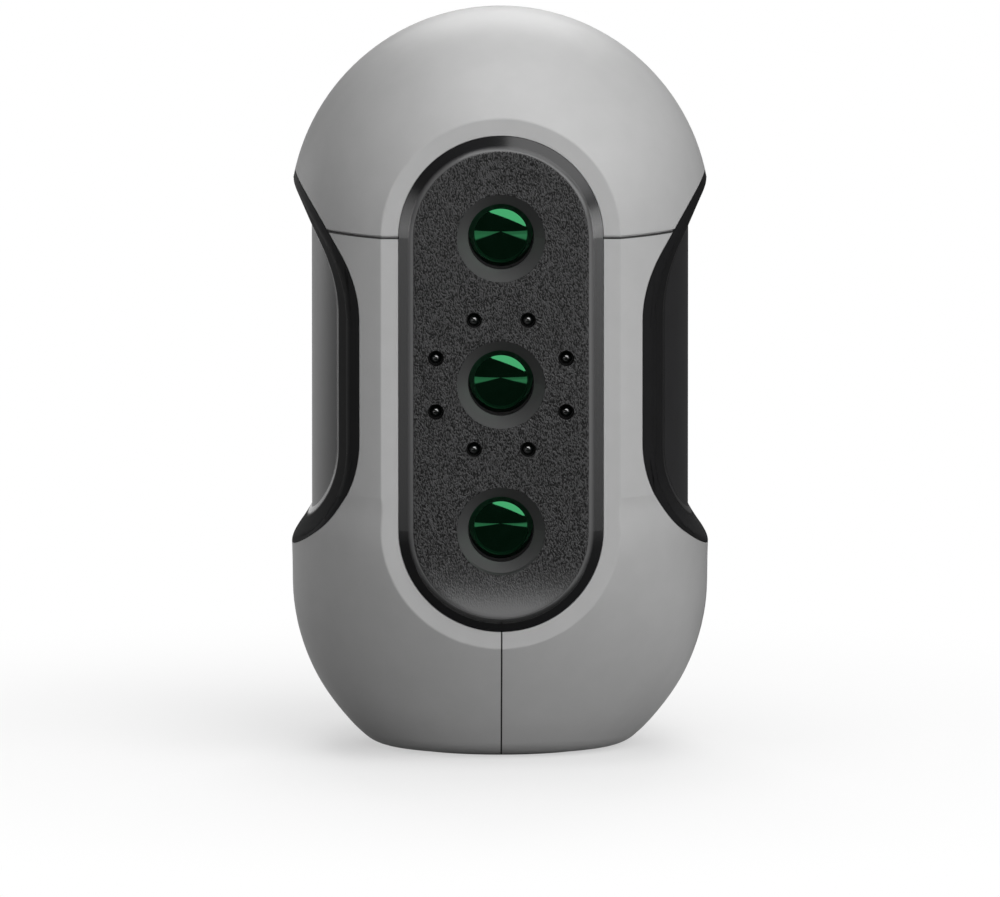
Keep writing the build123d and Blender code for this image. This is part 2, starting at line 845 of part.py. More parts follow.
# Rear panel with holes for the buttons, light pipe and socket
button_radii = [small_button_radius, scan_button_radius, small_button_radius]
button_post_points = [
    (x, scan_button_z + z)
    for x in (-button_post_x, button_post_x)
    for z in (-button_post_z, button_post_z)
]

with BuildPart() as rear_panel:
    extrude(rear_slot(rear_panel_back, rear_panel_half_width), amount=rear_panel_face - rear_panel_back)
    face_edges = rear_panel.faces().sort_by(Axis.Y)[-1].edges()
    chamfer(face_edges, rear_panel_edge)
    button_posts = discs(facing_back(button_board_face), button_post_points, button_post_radius)
    extrude(button_posts, amount=rear_panel_back - button_board_face)
    extrude(
        discs(facing_back(button_board_face), button_post_points, screw_pilot),
        amount=short_screw_length,
        mode=Mode.SUBTRACT,
    )
    for height, radius in zip(button_heights, button_radii):
        extrude(
            discs(facing_back(rear_panel_back), [(0, height)], radius + button_gap),
            amount=rear_panel_face - rear_panel_back,
            mode=Mode.SUBTRACT,
        )
    extrude(
        discs(facing_back(rear_panel_back), [(0, light_pipe_z)], light_pipe_radius + light_pipe_gap),
        amount=rear_panel_face - rear_panel_back,
        mode=Mode.SUBTRACT,
    )
    extrude(
        discs(facing_back(rear_panel_back), [(0, socket_z)], socket_radius + turned_gap),
        amount=rear_panel_face - rear_panel_back,
        mode=Mode.SUBTRACT,
    )
finish("rear_panel", rear_panel.part)


def push_button(height, radius):
    """A button with a flange behind the panel and a stem towards its switch."""
    face = rear_panel_face + button_proud
    with BuildPart() as button:
        with BuildSketch(turning_back(height)):
            with Locations((0, stem_end)):
                Rectangle(button_stem_radius, face - stem_end, align=corner)
            with Locations((0, flange_back)):
                Rectangle(radius + button_flange, button_flange_thickness, align=corner)
                Rectangle(radius, face - flange_back, align=corner)
        revolve(axis=level_axis(height))
        rim = button.edges().group_by(Axis.Y)[-1]
        fillet(rim, button_edge)
    return button.part


for word, height, radius in zip(["plus", "scan", "minus"], button_heights, button_radii):
    finish(f"{word}_button", push_button(height, radius))

# Button board with its switches
board_top = button_heights[0] + button_board_margin
board_bottom = light_pipe_z - button_board_margin
board_width = 2 * (button_post_x + button_board_edge)

with BuildPart() as button_board:
    with BuildSketch(facing_back(button_board_face - board_thickness)):
        with Locations((0, (board_top + board_bottom) / 2)):
            RectangleRounded(board_width, board_top - board_bottom, board_corner)
        with Locations(*button_post_points):
            Circle(screw_pass, mode=Mode.SUBTRACT)
    extrude(amount=board_thickness)
finish("button_board", button_board.part)

with BuildPart() as tact_switches:
    switch_points = [(0, height) for height in button_heights]
    with BuildSketch(facing_back(button_board_face)):
        with Locations(*switch_points):
            Rectangle(switch_side, switch_side)
    extrude(amount=switch_height)
    plungers = discs(facing_back(button_board_face + switch_height), switch_points, plunger_radius)
    extrude(plungers, amount=plunger_height)
finish("tact_switches", tact_switches.part)

with BuildPart() as button_board_screws:
    seat = button_board_face - board_thickness
    heads = discs(facing_back(seat - screw_head_height), button_post_points, screw_head_radius)
    extrude(heads, amount=screw_head_height)
    extrude(discs(facing_back(seat), button_post_points, screw_radius), amount=short_screw_length)
finish("button_board_screws", button_board_screws.part)

# Light pipe between a lamp on the button board and the panel's face
with BuildPart() as light_pipe:
    with BuildSketch(turning_back(light_pipe_z)):
        with Locations((0, light_pipe_back)):
            Rectangle(light_pipe_radius, rear_panel_face - light_pipe_back, align=corner)
        with Locations((0, rear_panel_back - light_pipe_flange_thickness)):
            Rectangle(light_pipe_flange, light_pipe_flange_thickness, align=corner)
    revolve(axis=level_axis(light_pipe_z))
finish("light_pipe", light_pipe.part)

# Round cable socket with its contacts and nut
with BuildPart() as cable_socket:
    with BuildSketch(turning_back(socket_z)):
        with Locations((0, socket_back)):
            Rectangle(socket_radius, socket_length, align=corner)
        with Locations((0, rear_panel_face)):
            Rectangle(socket_flange_radius, socket_flange_thickness, align=corner)
        with Locations((0, bore_end)):
            Rectangle(socket_bore, socket_bore_depth, align=corner, mode=Mode.SUBTRACT)
        with Locations((0, contact_back)):
            Rectangle(contact_seat, contact_block_length, align=corner, mode=Mode.SUBTRACT)
    revolve(axis=level_axis(socket_z))
finish("cable_socket", cable_socket.part)

with BuildPart() as socket_contacts:
    extrude(
        discs(facing_back(contact_back), [(0, socket_z)], contact_seat - turned_gap),
        amount=contact_block_length,
    )
    with BuildSketch(facing_back(bore_end)):
        with Locations((0, socket_z)):
            with PolarLocations(contact_ring_radius, contact_count):
                Circle(contact_radius)
    extrude(amount=-contact_depth, mode=Mode.SUBTRACT)
finish("socket_contacts", socket_contacts.part)

with BuildPart() as socket_nut:
    with BuildSketch(facing_back(rear_panel_back - socket_nut_thickness)):
        with Locations((0, socket_z)):
            RegularPolygon(socket_nut_radius, 6)
            Circle(socket_radius + turned_gap, mode=Mode.SUBTRACT)
    extrude(amount=socket_nut_thickness)
finish("socket_nut", socket_nut.part)

# Lead from the socket to a plug on the main board, in two equal bends
lead_end = plug_depth - main_board_back
lead_run = socket_back - lead_end
lead_rise = plug_z - socket_z
lead_bend = (lead_run**2 + lead_rise**2) / (4 * abs(lead_rise))
lead_turn = 2 * degrees(atan(lead_rise / lead_run))

with BuildPart() as socket_lead:
    with BuildLine(Plane.YZ) as route:
        rising = JernArc((socket_back, socket_z), (-1, 0), lead_bend, -lead_turn)
        JernArc(rising @ 1, rising % 1, lead_bend, lead_turn)
    with BuildSketch(facing_back(socket_back)):
        with Locations((0, socket_z)):
            Circle(lead_radius)
    sweep(path=route.line)
finish("socket_lead", socket_lead.part)

with BuildPart() as lead_plug:
    with BuildSketch(facing(main_board_back)):
        with Locations((0, plug_z)):
            Rectangle(plug_width, plug_height)
    extrude(amount=-plug_depth)
finish("lead_plug", lead_plug.part)
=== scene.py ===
# %% [markdown]
# A handheld scanner, dressed for its picture.
#
# The solid model already has every piece at its true size, in metres, with +Z up, the front towards -Y
# and the origin under the middle of the foot. This lesson loads it as a fixed frame, sets up the camera
# and the light of a product picture, and then gives each surface its finish. Nothing here moves or
# resizes a solid: it adds what only shows up close, such as grain, coatings, rolled edges and marks.

# %% Load the solid model
import math

import bpy
from mathutils import Matrix, Vector


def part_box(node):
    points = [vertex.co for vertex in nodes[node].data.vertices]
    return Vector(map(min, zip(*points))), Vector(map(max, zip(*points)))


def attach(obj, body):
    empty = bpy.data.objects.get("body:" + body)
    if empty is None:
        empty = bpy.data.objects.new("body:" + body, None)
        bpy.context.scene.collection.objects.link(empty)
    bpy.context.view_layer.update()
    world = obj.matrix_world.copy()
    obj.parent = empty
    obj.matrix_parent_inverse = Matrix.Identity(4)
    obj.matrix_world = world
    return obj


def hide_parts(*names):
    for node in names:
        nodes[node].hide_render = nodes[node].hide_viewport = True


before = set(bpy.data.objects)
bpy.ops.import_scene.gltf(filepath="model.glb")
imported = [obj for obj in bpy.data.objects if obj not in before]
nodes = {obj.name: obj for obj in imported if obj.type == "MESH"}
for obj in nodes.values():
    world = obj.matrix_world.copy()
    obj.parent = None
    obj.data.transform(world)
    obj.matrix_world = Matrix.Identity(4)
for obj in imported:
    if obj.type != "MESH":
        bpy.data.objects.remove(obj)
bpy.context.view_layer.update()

MM = 0.001


def in_mm(values):
    """Lengths in millimetres, for printing."""
    return [round(value / MM, 1) for value in values]


# %% [markdown]
# The camera. A product picture is taken from far away with a long lens, so that upright edges stay
# parallel and the near panel looks no larger than it is. The picture spans a quarter of a metre, so the
# lens follows from the distance and the width of the sensor. The camera looks down a little, which shows
# the top of the dome and the front of the base.

# %% Camera
CAMERA_DISTANCE = 6.5
CAMERA_ELEVATION = math.radians(7.76)
CAMERA_AZIMUTH = math.radians(-0.33)
PICTURE_WIDTH = 0.25
AIM = Vector((0.0, 0.0, 74.5 * MM))
SENSOR_WIDTH = 36.0


def direction(azimuth, elevation):
    """The unit vector that points from the object, with azimuth 0 in front and growing to the right."""
    level = math.cos(elevation)
    return Vector((level * math.sin(azimuth), -level * math.cos(azimuth), math.sin(elevation)))


scene = bpy.context.scene
away = direction(CAMERA_AZIMUTH, CAMERA_ELEVATION)
bpy.ops.object.camera_add(location=AIM + CAMERA_DISTANCE * away)
camera = bpy.context.object
camera.rotation_euler = (-away).to_track_quat("-Z", "Y").to_euler()
camera.data.sensor_fit = "HORIZONTAL"
camera.data.sensor_width = SENSOR_WIDTH
camera.data.lens = SENSOR_WIDTH * CAMERA_DISTANCE / PICTURE_WIDTH
camera.data.clip_end = 2.0 * CAMERA_DISTANCE
scene.camera = camera
scene.view_settings.view_transform = "Standard"
print("camera at", [round(value, 3) for value in camera.location], "lens", round(camera.data.lens), "mm")

# %% [markdown]
# Helpers for materials. A material is a tree of small nodes. These helpers each add one node, or a few, and
# give back the output, so that a pattern reads as a sum: products of masks, the largest of several, and
# smooth rises between two levels.

# %% Helpers for materials


def new_material(name):
    """Make a material, and give back its node tree and its main shader as well."""
    material = bpy.data.materials.new(name)
    material.use_nodes = True
    return material, material.node_tree, material.node_tree.nodes["Principled BSDF"]


def put(tree, socket, value):
    """Set a socket to a constant, or link another node's output to it."""
    if isinstance(value, bpy.types.NodeSocket):
        tree.links.new(value, socket)
    else:
        socket.default_value = value


def math_node(tree, operation, *values):
    """One step of a sum; each value is a number or another node's output."""
    step = tree.nodes.new("ShaderNodeMath")
    step.operation = operation
    for socket, value in zip(step.inputs, values):
        put(tree, socket, value)
    return step.outputs["Value"]


def product(tree, first, *others):
    """Several values multiplied."""
    for other in others:
        first = math_node(tree, "MULTIPLY", first, other)
    return first


def largest(tree, first, *others):
    """The largest of several values."""
    for other in others:
        first = math_node(tree, "MAXIMUM", first, other)
    return first


def rise(tree, value, start, end, low=0.0, high=1.0):
    """A smooth rise from one level to another while a value goes from start to end."""
    spread = tree.nodes.new("ShaderNodeMapRange")
    spread.interpolation_type = "SMOOTHSTEP"
    limits = {"Value": value, "From Min": start, "From Max": end, "To Min": low, "To Max": high}
    for name, limit in limits.items():
        put(tree, spread.inputs[name], limit)
    return spread.outputs["Result"]


def mix_colour(tree, factor, first, second):
    """A colour between two; each is a colour or another node's output."""
    mix = tree.nodes.new("ShaderNodeMix")
    mix.data_type = "RGBA"
    for name, value in (("Factor", factor), ("A", first), ("B", second)):
        put(tree, mix.inputs[name], value)
    return mix.outputs["Result"]


def coordinates(tree):
    """The object's own coordinates x, y and z."""
    where = tree.nodes.new("ShaderNodeTexCoord")
    split = tree.nodes.new("ShaderNodeSeparateXYZ")
    put(tree, split.inputs["Vector"], where.outputs["Object"])
    return split.outputs["X"], split.outputs["Y"], split.outputs["Z"]


def distance(tree, x, y, z):
    """How far three coordinates lie from zero."""
    joined = tree.nodes.new("ShaderNodeCombineXYZ")
    for socket, value in zip(joined.inputs, (x, y, z)):
        put(tree, socket, value)
    length = tree.nodes.new("ShaderNodeVectorMath")
    length.operation = "LENGTH"
    put(tree, length.inputs[0], joined.outputs["Vector"])
    return length.outputs["Value"]


print("helpers for materials are ready")

# %% [markdown]
# The floor. A white product picture needs a floor that looks white but still takes the soft shadow that
# seats the object. A plain white plane would turn gray further out and light the base from below. For the
# camera this floor therefore glows a little near the object and fully further out, and the rest of its
# white is paper that the lamps light. Gloss mirrors a part of that white. Right in front and behind on the
# right it mirrors black, as if cloths lay there, which is how studios keep lenses dark and let one side of a
# black grip stand out from the other. For all other light the floor is a plain gray, so it throws little
# light up at the base.

# %% Floor
FLOOR_SIZE = 40.0
FLOOR_WHITE = (0.82, 0.82, 0.82, 1.0)
FLOOR_GRAY = (0.18, 0.18, 0.18, 1.0)
FLOOR_ROUGHNESS = 0.9
MIRRORED_WHITE = 0.7
CLOTH_LEVEL = 0.03
CLOTH_BACK_EDGE = (0.05, -0.05)
CLOTH_SIDE_EDGE = (0.42, 0.30)
SCREEN_EDGE = (0.0, 0.1)
SCREEN_SHARE = 0.85
GLOW_EDGE = (0.05, 0.24)
NEAR_GLOW = 0.52

bpy.ops.object.select_all(action="DESELECT")
bpy.ops.mesh.primitive_plane_add(size=FLOOR_SIZE, location=(0.0, 0.0, 0.0))
floor = bpy.context.object
floor.name = "floor"
floor_paper, tree, paper = new_material("floor_paper")
x, y, z = coordinates(tree)
ray = tree.nodes.new("ShaderNodeLightPath").outputs
mirrored = largest(tree, ray["Is Glossy Ray"], ray["Is Transmission Ray"])
aside = math_node(tree, "ABSOLUTE", x)
front_cloth = product(tree, rise(tree, y, *CLOTH_BACK_EDGE), rise(tree, aside, *CLOTH_SIDE_EDGE))
screen = product(tree, rise(tree, y, *SCREEN_EDGE), rise(tree, x, *SCREEN_EDGE, 0.0, SCREEN_SHARE))
cloth = product(tree, largest(tree, front_cloth, screen), mirrored)
sheet_seen = product(tree, math_node(tree, "SUBTRACT", mirrored, cloth), MIRRORED_WHITE)
white = largest(tree, ray["Is Camera Ray"], sheet_seen)
put(tree, paper.inputs["Base Color"], mix_colour(tree, white, FLOOR_GRAY, FLOOR_WHITE))
put(tree, paper.inputs["Roughness"], FLOOR_ROUGHNESS)
put(tree, paper.inputs["Specular IOR Level"], 0.0)
near_to_far = rise(tree, distance(tree, x, y, z), *GLOW_EDGE, NEAR_GLOW, 1.0)
glow_share = largest(tree, product(tree, near_to_far, white), cloth)
glow = tree.nodes.new("ShaderNodeEmission")
put(tree, glow.inputs["Strength"], rise(tree, cloth, 0.0, 1.0, 1.0, CLOTH_LEVEL))
sheet = tree.nodes.new("ShaderNodeMixShader")
put(tree, sheet.inputs["Fac"], glow_share)
put(tree, sheet.inputs[1], paper.outputs["BSDF"])
put(tree, sheet.inputs[2], glow.outputs["Emission"])
put(tree, tree.nodes["Material Output"].inputs["Surface"], sheet.outputs["Shader"])
floor.data.materials.append(floor_paper)
print("floor", FLOOR_SIZE, "m wide")

# %% [markdown]
# The light. A large box overhead and a key box high on the right make the right of the dome lighter than
# the left. A long strip in front, above the camera, is what the lenses catch as a bright crescent. A
# large sheet at the camera fills the front. It is hidden from gloss, as a crossed pair of polarisers would
# do it, so the black pieces stay black. A box behind lights the back, three weak strips draw the side
# edges, and the world adds a weak even fill. A picture of a studio as the world would be simpler, but boxes
# can each be moved until a highlight sits right. Each box is set by the level it gives on a surface that
# faces it, where 1 shows a colour as it is written.

# %% Soft boxes and world
WORLD_LEVEL = 0.03
BOXES = {
    # azimuth and elevation in degrees, distance, width and height in metres, level, roll in degrees
    "top_box": (0.0, 88.0, 1.5, 1.1, 1.1, 0.54, 0.0),
    "key_box": (48.0, 40.0, 1.5, 1.8, 0.75, 0.48, -40.0),
    "lens_strip": (14.0, 26.0, 1.5, 1.9, 0.38, 0.28, -25.0),
    "front_sheet": (11.0, 2.0, 1.5, 1.2, 1.0, 0.56, 0.0),
    "rear_box": (180.0, 36.0, 1.5, 0.9, 0.6, 0.42, 0.0),
    "left_strip": (-58.0, 2.0, 1.4, 0.10, 0.9, 0.07, 0.0),
    "right_strip": (60.0, -1.0, 1.4, 0.14, 0.6, 0.11, 0.0),
    "rear_strip": (-138.0, 4.0, 1.2, 0.20, 0.30, 0.06, 0.0),
}


def soft_box(name, azimuth, elevation, far, width, height, level, roll):
    """Hang a rectangular lamp in a direction from the object, facing it, rolled about its beam."""
    toward = direction(math.radians(azimuth), math.radians(elevation))
    bpy.ops.object.light_add(type="AREA", location=AIM + far * toward)
    lamp = bpy.context.object
    lamp.name = name
    lamp.data.shape = "RECTANGLE"
    lamp.data.size = width
    lamp.data.size_y = height
    lamp.data.energy = level * (math.pi * far) ** 2
    aim = (-toward).to_track_quat("-Z", "Y").to_matrix().to_4x4()
    lamp.rotation_euler = (aim @ Matrix.Rotation(math.radians(roll), 4, "Z")).to_euler()
    return lamp


lamps = {name: soft_box(name, *values) for name, values in BOXES.items()}
lamps["front_sheet"].visible_glossy = False
world = bpy.data.worlds.new("studio")
world.use_nodes = True
background = world.node_tree.nodes["Background"]
background.inputs["Color"].default_value = (1.0, 1.0, 1.0, 1.0)
background.inputs["Strength"].default_value = WORLD_LEVEL
scene.world = world
print("lamps:", list(lamps))

# %% [markdown]
# Helpers for finishes. A moulded surface is never quite even. Noise in the object's own coordinates gives
# it a tint that varies a little and a grain that catches the light, and because the coordinates belong
# to the object, the grain stays put from every side.

# %% Helpers for finishes
TINT_LUMPS = 6.0 * MM
TINT_LIMITS = (0.3, 0.7)


def object_noise(tree, size, stretch=(1.0, 1.0, 1.0), detail=2.0, roughness=0.5):
    """Noise whose lumps are about a size across, stretched along the axes."""
    where = tree.nodes.new("ShaderNodeTexCoord")
    spread = tree.nodes.new("ShaderNodeMapping")
    put(tree, spread.inputs["Vector"], where.outputs["Object"])
    put(tree, spread.inputs["Scale"], [1.0 / (size * part) for part in stretch])
    noise = tree.nodes.new("ShaderNodeTexNoise")
    put(tree, noise.inputs["Vector"], spread.outputs["Vector"])
    put(tree, noise.inputs["Scale"], 1.0)
    put(tree, noise.inputs["Detail"], detail)
    put(tree, noise.inputs["Roughness"], roughness)
    return noise.outputs["Fac"]


def ramp(tree, value, low, high, dark, light):
    """Map a value between two limits to two colours."""
    steps = tree.nodes.new("ShaderNodeValToRGB")
    first, last = steps.color_ramp.elements
    first.position = low
    last.position = high
    first.color = (*dark, 1.0)
    last.color = (*light, 1.0)
    put(tree, steps.inputs["Fac"], value)
    return steps.outputs["Color"]


def bump(tree, shader, height, depth, strength):
    """Let a height move the light on the surface, as a grain of a depth."""
    lift = tree.nodes.new("ShaderNodeBump")
    put(tree, lift.inputs["Distance"], depth)
    put(tree, lift.inputs["Strength"], strength)
    put(tree, lift.inputs["Height"], height)
    put(tree, shader.inputs["Normal"], lift.outputs["Normal"])


def plastic(name, colour, roughness, spread=0.06, grain=0.35 * MM, depth=0.02 * MM, strength=0.25):
    """A moulded finish: a colour that varies a little, and a fine grain."""
    material, tree, shader = new_material(name)
    tint = object_noise(tree, TINT_LUMPS, detail=4.0)
    dark = [value * (1.0 - spread) for value in colour]
    light = [value * (1.0 + spread) for value in colour]
    put(tree, shader.inputs["Base Color"], ramp(tree, tint, *TINT_LIMITS, dark, light))
    put(tree, shader.inputs["Roughness"], roughness)
    bump(tree, shader, object_noise(tree, grain), depth, strength)
    return material, tree, shader


def metal(name, colour, roughness):
    """A metal finish with a fine grain."""
    material, tree, shader = plastic(
        name, colour, roughness, spread=0.04, grain=0.2 * MM, depth=0.01 * MM, strength=0.3
    )
    put(tree, shader.inputs["Metallic"], 1.0)
    return material


def second_colour(tree, shader, mask, colour):
    """Give a finish another colour where a mask is 1."""
    under = shader.inputs["Base Color"].links[0].from_socket
    put(tree, shader.inputs["Base Color"], mix_colour(tree, mask, under, colour))


def finish(material, *names):
    """Give the named solids a material."""
    for name in names:
        nodes[name].data.materials.clear()
        nodes[name].data.materials.append(material)
    print(material.name, "on", len(names), "solids")


print("helpers for finishes are ready")

# %% [markdown]
# The casing is satin gray plastic from a finely blasted mould: an even gray, with a grain so fine that it
# only softens the highlights. A picture wrapped round the shells could give that grain, but noise needs no
# unwrapping and shows no edge. The three mouldings meet in narrow grooves. On the real object such a groove
# leads on into the gap between two mouldings, where shade falls, while the solid's grooves have a floor. So
# the material paints that shade into them as near black, and the solid's own coordinates tell where they run.

# %% Casing
CASING_COLOUR = (0.405, 0.405, 0.405)
SEAM_PAINTED_SHADE = (0.02, 0.02, 0.02, 1.0)
SEAM_HALF = 0.19 * MM
RING_SEAM_DROP = 0.17 * MM
SIDE_SEAM_X = 0.175 * MM
SIDE_SEAM_DROP = 0.45 * MM
seam_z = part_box("top_cap")[0].z
casing_gray, tree, shader = plastic(
    "casing_gray", CASING_COLOUR, 0.50, spread=0.02, grain=0.45 * MM, depth=0.03 * MM, strength=0.35
)
x, _, z = coordinates(tree)
in_ring_seam = math_node(tree, "COMPARE", z, seam_z - RING_SEAM_DROP, SEAM_HALF)
in_side_seam = math_node(tree, "COMPARE", x, SIDE_SEAM_X, SEAM_HALF)
below_cap = math_node(tree, "LESS_THAN", z, seam_z - SIDE_SEAM_DROP)
in_seam = largest(tree, in_ring_seam, product(tree, in_side_seam, below_cap))
# Painted shade: the seam grooves are coloured near black, as the shade in a deep gap would look.
second_colour(tree, shader, in_seam, SEAM_PAINTED_SHADE)
finish(casing_gray, "top_cap", "left_shell", "right_shell")

# %% [markdown]
# The front panel is black plastic. Its flat face has a leather grain from an etched mould, while its bevel
# and lens funnels are smooth, and towards the lower end the grain runs out. The face could be cut off as a
# piece with its own material, but masks in one material leave the solid whole. How far forward a point lies
# tells the face, the ridge round it and the bevel apart, its place near a lens tells the funnels, and its
# height tells where the grain runs out.

# %% Zones of the front panel
FACE_DEPTH = 0.15 * MM
RIDGE_DEPTH = 0.80 * MM
FUNNEL_ROOM = 12.0 * MM
GRAIN_ENDS = 38.0 * MM
GRAIN_STARTS = 54.0 * MM
panel_face_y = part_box("front_panel")[0].y


def middle_z(node):
    """The height of the middle of a solid."""
    low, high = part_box(node)
    return 0.5 * (low.z + high.z)


panel_black, tree, shader = new_material("panel_black")
x, y, z = coordinates(tree)
on_face = rise(tree, y, panel_face_y + FACE_DEPTH, panel_face_y + 0.5 * FACE_DEPTH)
off_face = math_node(tree, "SUBTRACT", 1.0, on_face)
near_face = rise(tree, y, panel_face_y + RIDGE_DEPTH, panel_face_y + FACE_DEPTH)
grained = product(tree, on_face, rise(tree, z, GRAIN_ENDS, GRAIN_STARTS))
ungrained = product(tree, on_face, rise(tree, z, GRAIN_STARTS, GRAIN_ENDS))
inward = math_node(tree, "LESS_THAN", math_node(tree, "ABSOLUTE", x), FUNNEL_ROOM)
below_top = math_node(tree, "LESS_THAN", z, middle_z("upper_lens") + FUNNEL_ROOM)
above_end = math_node(tree, "GREATER_THAN", z, middle_z("lower_lens") - FUNNEL_ROOM)
in_funnel = product(tree, inward, below_top, above_end, off_face)
print("panel face at", in_mm([panel_face_y]), "grain runs out at", in_mm((GRAIN_STARTS, GRAIN_ENDS)), "mm")

# %% [markdown]
# The grain and gloss of the panel. The pebbles of a leather grain come from noise that is drawn out upwards.
# The same noise sets the colour and the height of the bump, so that the gaps between pebbles are low, and
# their dark colour is painted shade. Modelled pebbles would take millions of faces for something half a
# millimetre across. Near the lower end the real face runs into a shallow hollow, and there the bump bends the
# light to that effect. Where the grain runs out the colour is paler, which paints part of that end's
# highlight, and the ridge round the face is painted pale as a highlight line.

# %% Grain and gloss of the front panel
GRAIN_HEIGHT = 0.20 * MM
PEBBLE_SIZE = 0.42 * MM
PEBBLE_STRETCH = (0.75, 1.0, 1.35)
PEBBLE_LIMITS = (0.36, 0.64)
PEBBLE_GAP_PAINTED_SHADE = (0.006, 0.006, 0.006)
PEBBLE_PALE = (0.054, 0.054, 0.055)
BEVEL_COLOUR = (0.010, 0.010, 0.0105, 1.0)
RIDGE_PAINTED_HIGHLIGHT = (0.100, 0.100, 0.101, 1.0)
FUNNEL_COLOUR = (0.062, 0.062, 0.0625, 1.0)
UNGRAINED_PAINTED_HIGHLIGHT = (0.080, 0.080, 0.081, 1.0)
HOLLOW_STARTS = 56.0 * MM
HOLLOW_CURVE = 13.0
BEVEL_ROUGHNESS = 0.18
FACE_ROUGHNESS = 0.32
leather = object_noise(tree, PEBBLE_SIZE, PEBBLE_STRETCH, detail=1.5, roughness=0.45)
pebbles = rise(tree, leather, *PEBBLE_LIMITS)
# Painted highlight: the ridge between the face and the bevel is coloured pale, as a lit edge looks.
smooth = mix_colour(tree, product(tree, near_face, off_face), BEVEL_COLOUR, RIDGE_PAINTED_HIGHLIGHT)
smooth = mix_colour(tree, in_funnel, smooth, FUNNEL_COLOUR)
# Smooth where the grain runs out, and painted highlight: this lower end is coloured paler than the grain.
smooth = mix_colour(tree, ungrained, smooth, UNGRAINED_PAINTED_HIGHLIGHT)
# Painted shade: the lower a point of the grain lies, the darker its colour.
tint = ramp(tree, pebbles, 0.0, 1.0, PEBBLE_GAP_PAINTED_SHADE, PEBBLE_PALE)
put(tree, shader.inputs["Base Color"], mix_colour(tree, grained, smooth, tint))
grain = product(tree, pebbles, grained, GRAIN_HEIGHT)
below = largest(tree, math_node(tree, "SUBTRACT", HOLLOW_STARTS, z), 0.0)
hollow = product(tree, math_node(tree, "POWER", below, 2.0), HOLLOW_CURVE, near_face)
bump(tree, shader, math_node(tree, "ADD", grain, hollow), depth=1.0, strength=1.0)
flat = largest(tree, on_face, in_funnel)
put(tree, shader.inputs["Roughness"], rise(tree, flat, 0.0, 1.0, BEVEL_ROUGHNESS, FACE_ROUGHNESS))
put(tree, shader.inputs["Specular IOR Level"], 0.50)
finish(panel_black, "front_panel")

# %% [markdown]
# The grips. The rim is black plastic. Its band that lies flush with the casing and its inner wall come from
# a blasted mould and are matt, and only the lip that holds the pad is polished, so that it draws a thin
# bright line. How far a point lies from the casing's axis, or above the seam from the dome's centre, tells
# these zones apart. The pad is a satin dark gray rubber, and the foot is a matt black rubber.

# %% Grips and foot
LIP_EDGE = (47.8 * MM, 48.6 * MM)
BAND_EDGE = (51.8 * MM, 52.3 * MM)
LIP_ROUGHNESS = 0.15
WALL_ROUGHNESS = 0.95
BAND_ROUGHNESS = 0.70
RIM_COLOUR = (0.006, 0.006, 0.0065)
PAD_COLOUR = (0.016, 0.016, 0.017)
FOOT_COLOUR = (0.03, 0.03, 0.03)
rim_black, tree, shader = plastic(
    "rim_black", RIM_COLOUR, WALL_ROUGHNESS, spread=0.1, grain=0.8 * MM, depth=0.005 * MM, strength=0.1
)
x, y, z = coordinates(tree)
above_seam = largest(tree, math_node(tree, "SUBTRACT", z, seam_z), 0.0)
reach = distance(tree, x, y, above_seam)
wall_or_lip = rise(tree, reach, *LIP_EDGE, LIP_ROUGHNESS, WALL_ROUGHNESS)
less_on_band = rise(tree, reach, *BAND_EDGE, 0.0, WALL_ROUGHNESS - BAND_ROUGHNESS)
put(tree, shader.inputs["Roughness"], math_node(tree, "SUBTRACT", wall_or_lip, less_on_band))
put(tree, shader.inputs["Specular IOR Level"], 0.20)
finish(rim_black, "left_grip_rim", "right_grip_rim")
print("rim zones at", in_mm(LIP_EDGE + BAND_EDGE), "mm")
pad_gray, tree, shader = plastic("pad_gray", PAD_COLOUR, 0.40, grain=0.3 * MM)
put(tree, shader.inputs["Specular IOR Level"], 0.35)
finish(pad_gray, "left_grip_pad", "right_grip_pad")
foot_rubber = plastic(
    "foot_rubber", FOOT_COLOUR, 0.75, spread=0.1, grain=0.5 * MM, depth=0.05 * MM, strength=0.4
)[0]
finish(foot_rubber, "base_foot")

# %% [markdown]
# The crest of each rim. On the real object the band rolls over into the inner wall, so that no sharp edge
# meets the hand, and this shows as the round shoulders of the outline. The solid rim has a plain edge
# there. A bevel modifier limited by angle would take in other edges as well. So a copy of the mesh is
# merged, the crest edges are picked by their angle and by both their faces looking outward, and a bevel of
# several steps rolls them over. The copy first forgets the solid's stored normals, which would no longer
# fit.

# %% Rim crests
CREST_ROUND = 1.0 * MM
CREST_STEPS = 4
CREST_ANGLE = math.radians(22.0)
CREST_OUTWARD = 0.08
MERGE_WITHIN = 0.0005 * MM
SMOOTH_ANGLE = math.radians(30.0)


def select_crest(rim, side):
    """Select the edges between a rim's band and its inner wall, and give back how many there are."""
    beside = {}
    for face in rim.data.polygons:
        for key in face.edge_keys:
            beside.setdefault(key, []).append(face.normal)
    for edge in rim.data.edges:
        first, second = beside[edge.key]
        outward = min(first.x * side, second.x * side) > CREST_OUTWARD
        edge.select = outward and first.angle(second) > CREST_ANGLE
    return sum(edge.select for edge in rim.data.edges)


